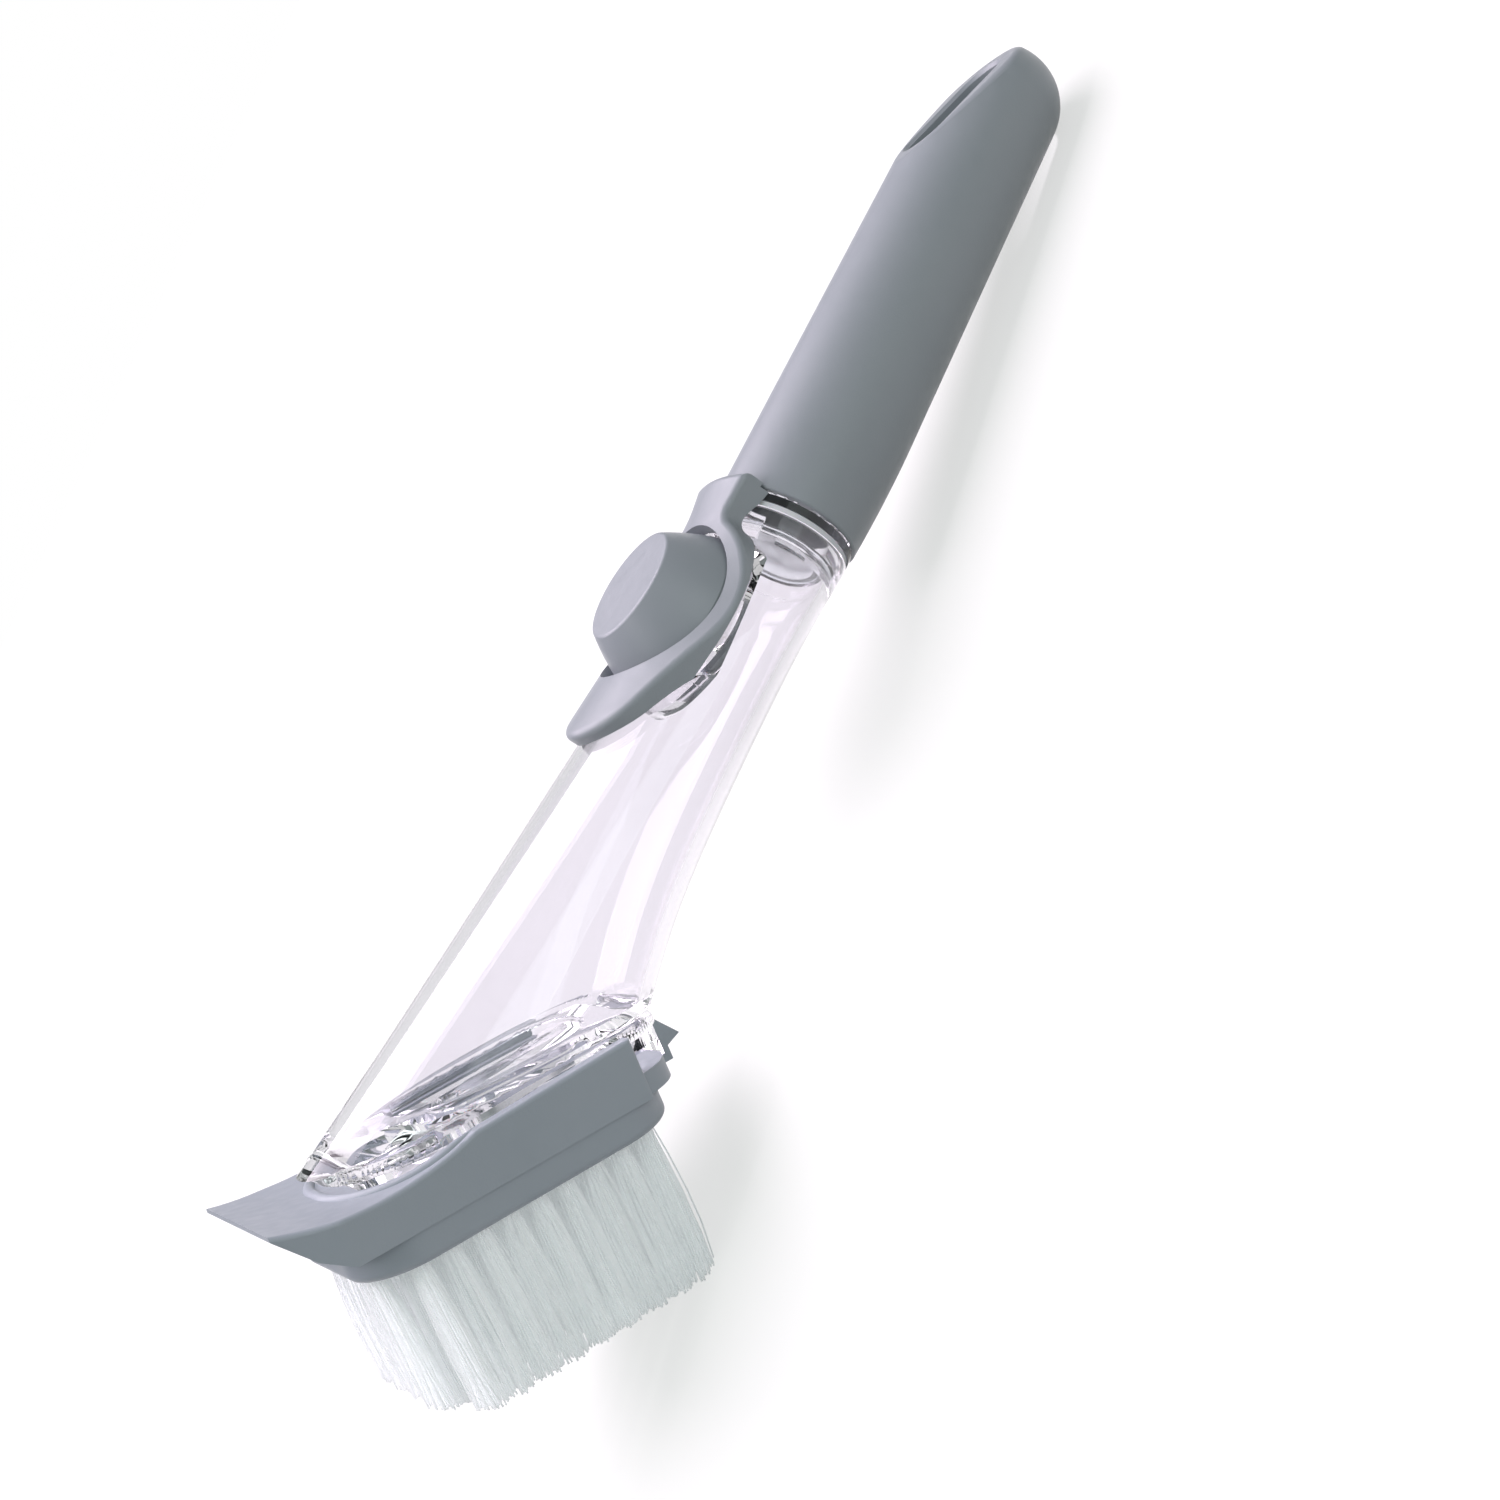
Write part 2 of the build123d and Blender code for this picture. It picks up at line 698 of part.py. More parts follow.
# Head tray: floor, side walls, concave deck and scraper edge in one moulding
with BuildPart() as head_tray:
    with BuildSketch(flank()):
        with BuildLine():
            Polyline((wall_fore_reach, wall_fore_height), (0, wall_heel_height), (0, 0), (tray_length, 0))
            Polyline(
                (tray_length, 0),
                (chin_reach, chin_height),
                (scraper_reach, scraper_height - scraper_edge),
                (scraper_reach, scraper_height),
            )
            ThreePointArc(
                (scraper_reach, scraper_height),
                (dip_reach, dip_height),
                (wall_fore_reach, wall_fore_height),
            )
        make_face()
    extrude(amount=tray_half_width, both=True)
    with BuildSketch(deck(0)) as tray_plan:
        with BuildLine():
            Polyline(
                (0, -tray_half_width),
                (tray_length, -tray_half_width),
                (scraper_reach, -scraper_half_width),
                (scraper_reach, scraper_half_width),
                (tray_length, tray_half_width),
                (0, tray_half_width),
                close=True,
            )
        make_face()
        front = tray_plan.vertices().filter_by_position(Axis.X, tray_length - overrun, tray_length + overrun)
        fillet(front, tray_corner)
    extrude(amount=2 * wall_heel_height, mode=Mode.INTERSECT)
    outer_walls = head_tray.faces().filter_by(Axis(head.origin, (0, 1, 0)))
    head_axis = Axis(head.origin, head.z_dir)
    fillet(outer_walls.edges().filter_by_position(head_axis, overrun, wall_heel_height), tray_edge)
    with BuildSketch(deck(0)):
        add(rounded_plan(-heel_reach, heel_reach + heel_corner, heel_half_width, heel_corner, heel_corner))
    extrude(amount=heel_height)
    recess_toe = foot_reach + sliding_gap
    recess_half_width = foot_half_width + sliding_gap
    with BuildSketch(deck(ledge_height)):
        recess_corner = foot_front_corner + sliding_gap
        add(rounded_plan(-foot_reach, recess_toe, recess_half_width, overrun, recess_corner))
    extrude(amount=wall_heel_height, mode=Mode.SUBTRACT)
    with BuildSketch(deck(tray_floor)):
        add(rounded_plan(-foot_reach, pocket_reach, pocket_half_width, overrun, keel_corner))
    extrude(amount=wall_heel_height, mode=Mode.SUBTRACT)
    with BuildSketch(deck(tray_floor)):
        with Locations(((pocket_reach + toe_tab_reach) / 2, 0)):
            Rectangle(
                toe_tab_reach - pocket_reach + 2 * running_gap + overrun,
                2 * (toe_tab_half_width + sliding_gap),
            )
    extrude(
        amount=toe_tab_bottom + toe_tab_thickness + sliding_gap - tray_floor,
        mode=Mode.SUBTRACT,
    )
    with BuildSketch(deck(0)):
        with Locations((-latch_root_reach - heel_reach / 2, 0)):
            Rectangle(heel_reach, 2 * (latch_half_width + sliding_gap))
    extrude(amount=heel_height, mode=Mode.SUBTRACT)
    with BuildSketch(deck(0, outlet_reach)):
        Circle(port_bore_radius)
    extrude(amount=tray_floor, mode=Mode.SUBTRACT)
finish(head_tray, "head_tray")

with BuildPart() as port_seal:
    with BuildSketch(deck(tray_floor, outlet_reach)):
        Circle(port_seal_radius)
        Circle(port_seal_bore_radius, mode=Mode.SUBTRACT)
    extrude(amount=spout_bottom - running_gap - tray_floor)
finish(port_seal, "port_seal")

# Release latch: a tongue under the foot's lip, round at its root, with a wedge that rises behind the lip
wedge_face = -foot_heel_reach - sliding_gap
root_radius = latch_thickness / 2
root_reach = -latch_root_reach - running_gap - root_radius
with BuildPart() as release_latch:
    with BuildSketch(flank()):
        with BuildLine():
            Polyline(
                (root_reach, latch_bottom + latch_thickness),
                (wedge_face, latch_bottom + latch_thickness),
                (wedge_face, latch_top),
                (-latch_tip_reach, latch_tip_height),
                (wedge_face - latch_stem, latch_wedge_base),
                (wedge_face - latch_stem, latch_bottom),
                (root_reach, latch_bottom),
            )
            ThreePointArc(
                (root_reach, latch_bottom),
                (root_reach + root_radius, latch_bottom + root_radius),
                (root_reach, latch_bottom + latch_thickness),
            )
        make_face()
    extrude(amount=latch_half_width, both=True)
finish(release_latch, "release_latch")

# Bristle block below the seam, with a blind hole for each tuft
def tuft_spots():
    """Plan places of the tufts; the last column at the toe stops one row short on each side."""
    spots = []
    for column in range(tuft_columns):
        for row in range(tuft_rows):
            u = tuft_start + column * tuft_pitch
            y = (row - (tuft_rows - 1) / 2) * tuft_row_pitch
            if column < tuft_columns - 1 or 0 < row < tuft_rows - 1:
                spots.append((u, y))
    return spots


with BuildPart() as bristle_block:
    with BuildSketch(deck(-block_thickness)):
        add(
            rounded_plan(
                -block_heel_reach,
                block_toe_reach,
                tray_half_width - block_inset,
                block_corner,
                block_corner,
            )
        )
    extrude(amount=block_thickness)
    fillet(bristle_block.faces().sort_by(Axis(head.origin, head.z_dir))[0].edges(), block_edge)
    with BuildSketch(deck(-block_thickness)):
        add(
            rounded_plan(
                slice_inset - block_heel_reach,
                block_toe_reach - slice_inset,
                tray_half_width - block_inset - slice_inset,
                block_corner - slice_inset,
                block_corner - slice_inset,
            )
        )
    extrude(amount=slice_thickness, mode=Mode.SUBTRACT)
    with BuildSketch(deck(slice_thickness - block_thickness)):
        with Locations(*tuft_spots()):
            Circle(tuft_hole_radius)
    extrude(amount=tuft_hole_depth, mode=Mode.SUBTRACT)
    with BuildSketch(deck(0, outlet_reach)):
        Circle(port_bore_radius)
    extrude(amount=-block_thickness, mode=Mode.SUBTRACT)
finish(bristle_block, "bristle_block")

# Staples: flat wire anchors pressed into the tuft holes
with BuildPart() as tuft_staples:
    with BuildSketch(deck(slice_thickness + tuft_hole_depth - block_thickness - staple_height)):
        with Locations(*tuft_spots()):
            Rectangle(staple_length, staple_thickness, rotation=45)
    extrude(amount=staple_height)
finish(tuft_staples, "tuft_staples")

# Tufts: square strands in rings, rooted in the slice of the block that they stand in
strand_root = slice_thickness / 2 - block_thickness
strands = []
for tuft, (u, y) in enumerate(tuft_spots()):
    tilt = lean_at(u)
    roll = side_lean * 2 * y / (tuft_row_pitch * (tuft_rows - 1))
    for strand in range(strands_in_ring + 1):
        around = 360 * (strand + tuft / 2) / strands_in_ring
        ring = strand_ring_radius if strand < strands_in_ring else 0.0
        jag = tip_jag * sin(radians(around) * (tuft + 2))
        place = (
            deck(strand_root).location
            * Pos(u, y, 0)
            * Rotation(0, tilt, 0)
            * Rotation(roll, 0, 0)
            * Rotation(0, 0, around)
            * Pos(ring, 0, 0)
        )
        length = (tip_depth_at(u) + strand_root) / cos(radians(tilt)) / cos(radians(roll)) + jag
        rod = Box(
            strand_width,
            strand_width,
            length,
            align=(Align.CENTER, Align.CENTER, Align.MAX),
            mode=Mode.PRIVATE,
        )
        strands.append(place * rod)

with BuildPart() as bristle_tufts:
    with BuildSketch(deck(-block_thickness)):
        add(
            rounded_plan(
                slice_inset - block_heel_reach,
                block_toe_reach - slice_inset,
                tray_half_width - block_inset - slice_inset,
                block_corner - slice_inset,
                block_corner - slice_inset,
            )
        )
    extrude(amount=slice_thickness)
    with BuildSketch(deck(0, outlet_reach)):
        Circle(port_bore_radius)
    extrude(amount=-block_thickness, mode=Mode.SUBTRACT)
    add(strands)
    split(bisect_by=Plane.XY, keep=Keep.TOP)
finish(bristle_tufts, "bristle_tufts")
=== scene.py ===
from math import copysign, cos, pi, radians, sin

import bmesh
import bpy
import numpy as np
from mathutils import Matrix, Vector


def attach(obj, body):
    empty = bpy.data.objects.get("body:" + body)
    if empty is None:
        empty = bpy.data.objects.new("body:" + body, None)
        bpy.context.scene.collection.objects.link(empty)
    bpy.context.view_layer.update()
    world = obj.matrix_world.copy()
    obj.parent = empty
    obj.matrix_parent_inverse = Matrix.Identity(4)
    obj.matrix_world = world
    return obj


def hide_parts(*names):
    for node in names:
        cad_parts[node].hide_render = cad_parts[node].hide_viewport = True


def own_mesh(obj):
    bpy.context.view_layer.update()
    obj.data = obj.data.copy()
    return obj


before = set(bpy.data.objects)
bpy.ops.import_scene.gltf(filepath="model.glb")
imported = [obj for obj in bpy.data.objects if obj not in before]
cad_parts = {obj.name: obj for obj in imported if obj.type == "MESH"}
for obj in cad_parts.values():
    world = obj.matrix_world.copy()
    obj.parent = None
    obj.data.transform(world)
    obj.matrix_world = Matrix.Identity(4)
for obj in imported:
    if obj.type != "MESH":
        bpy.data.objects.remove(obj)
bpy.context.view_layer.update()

mm = 0.001

# The set: a pale counter that the wand lies on and plain soft light, with a camera at the photograph's
# angle. It looks down across the wand, with its top turned towards the tip of the handle.
camera_place = Vector((-0.11553, -0.351148, 0.177798))
camera_right = Vector((0.326158, -0.469144, -0.820642))
camera_down = Vector((-0.911692, 0.073245, -0.404220))
focal_pixels = 2121.86
photo_pixels = 1500
sensor_side = 36.0
near_limit = 0.01
far_limit = 50
ambient_low = 0.16
ambient_high = 0.42
ambient_tint = (0.90, 1.0, 0.99)
backdrop_strength = 1.0
sky_bottom = -0.1
sky_top = 0.9
counter_reach = 1.6
counter_grey = (0.3, 0.305, 0.29)
counter_roughness = 0.7
glow_near = 0.62
glow_far = 0.93
glow_start = 0.2
glow_end = 1.15
lamp_aim = (0, 0, 0.03)


def put(name, data):
    """Object with its data, linked into the scene."""
    made = bpy.data.objects.new(name, data)
    bpy.context.scene.collection.objects.link(made)
    return made


def material_of(name):
    """New material, with its node tree and its Principled shader."""
    material = bpy.data.materials.new(name)
    material.use_nodes = True
    return material, material.node_tree, material.node_tree.nodes["Principled BSDF"]


def feed(tree, socket, value):
    """Set a socket to a value, or link it to another node's output."""
    if isinstance(value, bpy.types.NodeSocket):
        tree.links.new(value, socket)
    else:
        socket.default_value = value


def calc(tree, operation, *values):
    """Math node on numbers or on the outputs of other nodes."""
    made = tree.nodes.new("ShaderNodeMath")
    made.operation = operation
    for socket, value in zip(made.inputs, values):
        feed(tree, socket, value)
    return made.outputs[0]


def spread(tree, value, low, high, from_low=0.3, from_high=0.7):
    """Value mapped from its middle range to a range of its own."""
    made = tree.nodes.new("ShaderNodeMapRange")
    limits = {"From Min": from_low, "From Max": from_high, "To Min": low, "To Max": high}
    for label, setting in limits.items():
        feed(tree, made.inputs[label], setting)
    tree.links.new(value, made.inputs["Value"])
    return made.outputs["Result"]


def two_tone(tree, factor, colour, shade):
    """Colour that goes over to a shade with a factor."""
    made = tree.nodes.new("ShaderNodeMix")
    made.data_type = "RGBA"
    made.inputs["A"].default_value = (*colour, 1)
    made.inputs["B"].default_value = (*shade, 1)
    tree.links.new(factor, made.inputs["Factor"])
    return made.outputs["Result"]


camera_data = bpy.data.cameras.new("camera")
camera_data.sensor_width = sensor_side
camera_data.lens = sensor_side * focal_pixels / photo_pixels
camera_data.clip_start = near_limit
camera_data.clip_end = far_limit
camera = put("camera", camera_data)
camera_axes = Matrix((camera_right, -camera_down, -camera_right.cross(camera_down))).transposed()
camera.matrix_world = Matrix.Translation(camera_place) @ camera_axes.to_4x4()
bpy.context.scene.camera = camera
bpy.context.scene.view_settings.view_transform = "Standard"

world = bpy.data.worlds.new("studio")
bpy.context.scene.world = world
world.use_nodes = True
tree = world.node_tree
tree.nodes.clear()
height = tree.nodes.new("ShaderNodeSeparateXYZ")
tree.links.new(tree.nodes.new("ShaderNodeTexCoord").outputs["Generated"], height.inputs[0])
fade = spread(tree, height.outputs["Z"], ambient_low, ambient_high, sky_bottom, sky_top)
rays = tree.nodes.new("ShaderNodeLightPath").outputs
direct = calc(tree, "MAXIMUM", rays["Is Camera Ray"], rays["Is Transmission Ray"])
strength = tree.nodes.new("ShaderNodeMix")
strength.inputs["B"].default_value = backdrop_strength
tree.links.new(direct, strength.inputs["Factor"])
tree.links.new(fade, strength.inputs["A"])
background = tree.nodes.new("ShaderNodeBackground")
tree.links.new(two_tone(tree, direct, ambient_tint, (1, 1, 1)), background.inputs["Color"])
tree.links.new(strength.outputs["Result"], background.inputs["Strength"])
world_out = tree.nodes.new("ShaderNodeOutputWorld")
tree.links.new(background.outputs[0], world_out.inputs["Surface"])

counter_mesh = bpy.data.meshes.new("counter")
counter_mesh.from_pydata(
    [(x * counter_reach, y * counter_reach, 0) for x, y in ((-1, -1), (1, -1), (1, 1), (-1, 1))],
    [],
    [(0, 1, 2, 3)],
)
counter = put("counter", counter_mesh)
counter_paint, tree, paint = material_of("counter_paint")
paint.inputs["Base Color"].default_value = (*counter_grey, 1)
paint.inputs["Roughness"].default_value = counter_roughness
rays = tree.nodes.new("ShaderNodeLightPath").outputs
looked_at = calc(tree, "MAXIMUM", rays["Is Camera Ray"], rays["Is Glossy Ray"])
looked_at = calc(tree, "MAXIMUM", looked_at, rays["Is Transmission Ray"])
distance = tree.nodes.new("ShaderNodeVectorMath")
distance.operation = "LENGTH"
tree.links.new(tree.nodes.new("ShaderNodeTexCoord").outputs["Object"], distance.inputs[0])
swell = spread(tree, distance.outputs["Value"], glow_near, glow_far, glow_start, glow_end)
glow = tree.nodes.new("ShaderNodeEmission")
tree.links.new(calc(tree, "MULTIPLY", looked_at, swell), glow.inputs["Strength"])
both = tree.nodes.new("ShaderNodeAddShader")
tree.links.new(paint.outputs[0], both.inputs[0])
tree.links.new(glow.outputs[0], both.inputs[1])
tree.links.new(both.outputs[0], tree.nodes["Material Output"].inputs["Surface"])
counter_mesh.materials.append(counter_paint)


def soft_lamp(name, place, size, watts, tint):
    """Rectangular area lamp that points at the wand."""
    lamp = bpy.data.lights.new(name, "AREA")
    lamp.shape = "RECTANGLE"
    lamp.size, lamp.size_y = size
    lamp.energy = watts
    lamp.color = tint
    stand = put(name, lamp)
    stand.location = place
    stand.rotation_mode = "QUATERNION"
    stand.rotation_quaternion = (Vector(lamp_aim) - Vector(place)).to_track_quat("-Z", "Y")


soft_lamp("top_lamp", place=(0.02, 0.42, 0.78), size=(1.0, 1.0), watts=14.2, tint=(1.0, 0.865, 1.0))
soft_lamp("front_lamp", place=(0.15, -0.95, 0.25), size=(0.8, 0.8), watts=3.0, tint=(0.92, 1.0, 1.0))
soft_lamp("strip_lamp", place=(-0.30, -0.03, 0.66), size=(0.012, 0.9), watts=0.9, tint=(1.0, 0.98, 1.0))

# Handle grip: hollow, injection moulded in a grey thermoplastic with a fine satin grain. It is screwed
# into the reservoir's neck, and its bevelled tip has a long slot for hanging the wand up.
cloud_scale = 45.0
speck_scale = 420.0
grain_strength = 0.5


def noise(tree, where, scale, detail=2.0):
    """Noise texture on given coordinates, in features per metre."""
    made = tree.nodes.new("ShaderNodeTexNoise")
    made.inputs["Detail"].default_value = detail
    feed(tree, made.inputs["Scale"], scale)
    tree.links.new(where, made.inputs["Vector"])
    return made.outputs["Fac"]


def effect(name, floats, colours, outputs):
    """Empty shader node group with named inputs and outputs, and its two end nodes."""
    group = bpy.data.node_groups.new(name, "ShaderNodeTree")
    for label, value in colours:
        made = group.interface.new_socket(label, in_out="INPUT", socket_type="NodeSocketColor")
        made.default_value = value
    for label, value in floats:
        made = group.interface.new_socket(label, in_out="INPUT", socket_type="NodeSocketFloat")
        made.default_value = value
    for label, kind in outputs:
        group.interface.new_socket(label, in_out="OUTPUT", socket_type="NodeSocket" + kind)
    return group, group.nodes.new("NodeGroupInput"), group.nodes.new("NodeGroupOutput")


moulding, given, result = effect(
    "moulded_grain",
    [("Grain Size", 2600.0), ("Low Gloss", 0.5), ("High Gloss", 0.36)],
    [("Colour", (0.2, 0.23, 0.25, 1)), ("Shade", (0.17, 0.2, 0.22, 1))],
    [("Colour", "Color"), ("Roughness", "Float"), ("Height", "Float")],
)
spot = moulding.nodes.new("ShaderNodeTexCoord").outputs["Object"]
grain = noise(moulding, spot, given.outputs["Grain Size"], detail=1.0)
blend = moulding.nodes.new("ShaderNodeMix")
blend.data_type = "RGBA"
cloud = noise(moulding, spot, cloud_scale, detail=3.0)
moulding.links.new(spread(moulding, cloud, 0.0, 1.0), blend.inputs["Factor"])
moulding.links.new(given.outputs["Colour"], blend.inputs["A"])
moulding.links.new(given.outputs["Shade"], blend.inputs["B"])
speck = noise(moulding, spot, speck_scale, detail=1.0)
gloss = spread(moulding, speck, given.outputs["High Gloss"], given.outputs["Low Gloss"])
moulding.links.new(blend.outputs["Result"], result.inputs["Colour"])
moulding.links.new(gloss, result.inputs["Roughness"])
moulding.links.new(grain, result.inputs["Height"])


def grey_plastic(name, colour, shade, high_gloss, low_gloss, grain_size, grain_depth):
    """Grey moulded plastic with a fine grain."""
    material, tree, shader = material_of(name)
    moulded = tree.nodes.new("ShaderNodeGroup")
    moulded.node_tree = moulding
    moulded.inputs["Colour"].default_value = (*colour, 1)
    moulded.inputs["Shade"].default_value = (*shade, 1)
    moulded.inputs["High Gloss"].default_value = high_gloss
    moulded.inputs["Low Gloss"].default_value = low_gloss
    moulded.inputs["Grain Size"].default_value = grain_size
    bump = tree.nodes.new("ShaderNodeBump")
    bump.inputs["Distance"].default_value = grain_depth
    bump.inputs["Strength"].default_value = grain_strength
    tree.links.new(moulded.outputs["Colour"], shader.inputs["Base Color"])
    tree.links.new(moulded.outputs["Roughness"], shader.inputs["Roughness"])
    tree.links.new(moulded.outputs["Height"], bump.inputs["Height"])
    tree.links.new(bump.outputs["Normal"], shader.inputs["Normal"])
    return material


def dress(name, material):
    """Give a CAD node its finished material."""
    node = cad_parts[name]
    if node.material_slots:
        for place in node.material_slots:
            place.material = material
    else:
        node.data.materials.append(material)


satin_grey = grey_plastic(
    "satin_grey",
    colour=(0.28, 0.305, 0.325),
    shade=(0.264, 0.29, 0.31),
    high_gloss=0.34,
    low_gloss=0.44,
    grain_size=2600.0,
    grain_depth=0.03 * mm,
)
dress("handle_grip", satin_grey)

# Threaded plug, its white seal and the frosted cap on its nose. The plug is moulded in clear plastic and
# pressed into the handle, and its flange shows as a clear ring between the handle and the reservoir.
passing_tint = (0.985, 0.985, 0.985)
last_bounce = 5.5
matt_spread = 0.12


def let_through(tree, shader, share, tint):
    """Mix the shader with plain transparency by a share, and send that to the output."""
    passing = tree.nodes.new("ShaderNodeBsdfTransparent")
    passing.inputs["Color"].default_value = (*tint, 1)
    choice = tree.nodes.new("ShaderNodeMixShader")
    tree.links.new(share, choice.inputs["Fac"])
    tree.links.new(shader.outputs[0], choice.inputs[1])
    tree.links.new(passing.outputs[0], choice.inputs[2])
    tree.links.new(choice.outputs[0], tree.nodes["Material Output"].inputs["Surface"])


def clear_plastic(name, colour, shade, gloss, dull, index):
    """Clear moulded plastic with faint clouds of handling marks.

    Shadow rays, diffuse rays and rays past their last bounce go straight through it.
    """
    material, tree, shader = material_of(name)
    shader.inputs["Transmission Weight"].default_value = 1.0
    shader.inputs["IOR"].default_value = index
    spot = tree.nodes.new("ShaderNodeTexCoord").outputs["Object"]
    cloud = spread(tree, noise(tree, spot, scale=60.0, detail=3.0), 0.0, 1.0)
    tree.links.new(two_tone(tree, cloud, colour, shade), shader.inputs["Base Color"])
    marks = noise(tree, spot, scale=240.0)
    tree.links.new(spread(tree, marks, gloss, dull), shader.inputs["Roughness"])
    rays = tree.nodes.new("ShaderNodeLightPath").outputs
    straight = calc(tree, "MAXIMUM", rays["Is Shadow Ray"], rays["Is Diffuse Ray"])
    spent = calc(tree, "GREATER_THAN", rays["Ray Depth"], last_bounce)
    let_through(tree, shader, calc(tree, "MAXIMUM", straight, spent), passing_tint)
    return material


def soft_plastic(name, colour, shade, rough, softness, depth):
    """Soft or waxy plastic that lets some light in under its skin."""
    material, tree, shader = material_of(name)
    shader.inputs["Subsurface Weight"].default_value = softness
    shader.inputs["Subsurface Scale"].default_value = depth
    spot = tree.nodes.new("ShaderNodeTexCoord").outputs["Object"]
    cloud = spread(tree, noise(tree, spot, scale=160.0, detail=3.0), 0.0, 1.0)
    tree.links.new(two_tone(tree, cloud, colour, shade), shader.inputs["Base Color"])
    marks = noise(tree, spot, scale=900.0)
    tree.links.new(spread(tree, marks, rough, rough + matt_spread), shader.inputs["Roughness"])
    return material


clear_plug = clear_plastic(
    "clear_plug", colour=(0.95, 0.95, 0.965), shade=(0.93, 0.93, 0.95), gloss=0.0, dull=0.03, index=1.4
)
dress("neck_insert", clear_plug)
seal_white = soft_plastic(
    "seal_white",
    colour=(0.74, 0.74, 0.76),
    shade=(0.68, 0.68, 0.71),
    rough=0.5,
    softness=0.1,
    depth=0.6 * mm,
)
dress("neck_seal", seal_white)
frosted = clear_plastic(
    "frosted_cup", colour=(0.90, 0.92, 0.95), shade=(0.86, 0.885, 0.92), gloss=0.16, dull=0.24, index=1.3
)
dress("stopper_cap", frosted)

# Reservoir: a clear tube blown in one piece, from the round neck to the slanting foot, and welded to a
# clear foot plate. Its skins are laid through the same nine sections as the CAD's, and the weld leaves no
# seam, so tube and foot are one glassy piece here.
wand_tilt = 6.3465
rim_centre = Vector((0.026903, 0, 0.024839))
tube_mouth = -3.0
tube_reach = 156.6
tube_half_width = 18.0
tube_wall = 2.2
square_shares = (1.0, 0.95, 0.9, 0.87, 0.87, 0.87, 0.87, 0.87, 0.87)
width_shares = (0.744, 0.93, 1.0, 1.0, 1.0, 1.0, 1.0, 1.01, 1.02)
crest_shares = (0.744, 0.79, 0.85, 0.952, 1.064, 1.18, 1.30, 1.43, 1.56)
under_shares = (0.744, 0.625, 0.58, 0.588, 0.675, 0.9, 1.12, 1.31, 1.5)
tube_rings = 140
tube_sides = 112
foot_slant = 36.4
foot_heel = Vector((-110.5, 0, -15.1))
foot_top = 11.7
weld_depth = 0.3
button_station = -27.4
well_radius = 17.05
well_wall = 1.5
seat_top = 7.6
seat_thickness = 2.0
port_radius = 12.4
neck_bore = 12.3
neck_end = -9.85
long_cut = 40.0
short_cut = 10.0
overrun = 2.0
opening_corner = 10.0
opening_heel = -0.8
opening_toe = 37.0
opening_half_width = 12.0
opening_sink = 1.0
corner_steps = 12
rod_sides = 128
skin_merge = 0.002
crease_angle = 32.0
clear_wall = clear_plastic(
    "clear_wall", colour=(0.855, 0.843, 0.876), shade=(0.842, 0.83, 0.864), gloss=0.0, dull=0.03, index=1.4
)

up = Vector((0, 0, 1))
wand_turn = radians(wand_tilt)
wand_along = Vector((cos(wand_turn), 0, -sin(wand_turn)))
wand_up = Vector((sin(wand_turn), 0, cos(wand_turn)))
wand_axes = Matrix((wand_along, Vector((0, 1, 0)), wand_up)).transposed().to_4x4()
wand_frame = Matrix.Translation(rim_centre) @ wand_axes @ Matrix.Scale(mm, 4)
foot_turn = radians(foot_slant)
foot_up = Vector((sin(foot_turn), 0, cos(foot_turn)))
foot_along = Vector((-cos(foot_turn), 0, sin(foot_turn)))


def eased(values, place):
    """Value at a fractional station of a natural cubic curve through evenly spaced values."""
    count = len(values)
    bends = np.zeros(count)
    matrix = 4 * np.eye(count - 2) + np.eye(count - 2, k=1) + np.eye(count - 2, k=-1)
    bends[1:-1] = np.linalg.solve(matrix, 6 * np.diff(values, 2))
    low = min(int(place), count - 2)
    after = place - low
    before = 1 - after
    ends = values[low] * before + values[low + 1] * after
    return ends + (bends[low] * (before**3 - before) + bends[low + 1] * (after**3 - after)) / 6


def tube_skin(grow):
    """Closed skin of the tube in the wand's frame, grown outward or inward, as points and faces."""
    points = []
    for ring in range(tube_rings + 1):
        place = (len(crest_shares) - 1) * ring / tube_rings
        crest = eased(crest_shares, place) * tube_half_width
        under = eased(under_shares, place) * tube_half_width
        width = eased(width_shares, place) * tube_half_width
        power = eased(square_shares, place)
        half_height = (crest + under) / 2 + grow
        for side in range(tube_sides):
            turn = 2 * pi * side / tube_sides
            y = (width + grow) * copysign(abs(cos(turn)) ** power, cos(turn))
            z = half_height * copysign(abs(sin(turn)) ** power, sin(turn))
            points.append((tube_mouth - tube_reach * ring / tube_rings, y, z + (crest - under) / 2))
    faces = []
    for ring in range(tube_rings):
        for side in range(tube_sides):
            near = ring * tube_sides + side
            far = ring * tube_sides + (side + 1) % tube_sides
            faces.append((near, far, far + tube_sides, near + tube_sides))
    faces.append(tuple(reversed(range(tube_sides))))
    faces.append(tuple(range(tube_rings * tube_sides, (tube_rings + 1) * tube_sides)))
    return points, faces


def solid_of(name, shape):
    """Object from a closed bmesh, its normals turned outward."""
    bmesh.ops.recalc_face_normals(shape, faces=shape.faces)
    mesh = bpy.data.meshes.new(name)
    shape.to_mesh(mesh)
    shape.free()
    return put(name, mesh)


def smooth(mesh):
    """Shade a mesh smooth, apart from its creases."""
    for polygon in mesh.polygons:
        polygon.use_smooth = True
    mesh.set_sharp_from_angle(angle=radians(crease_angle))


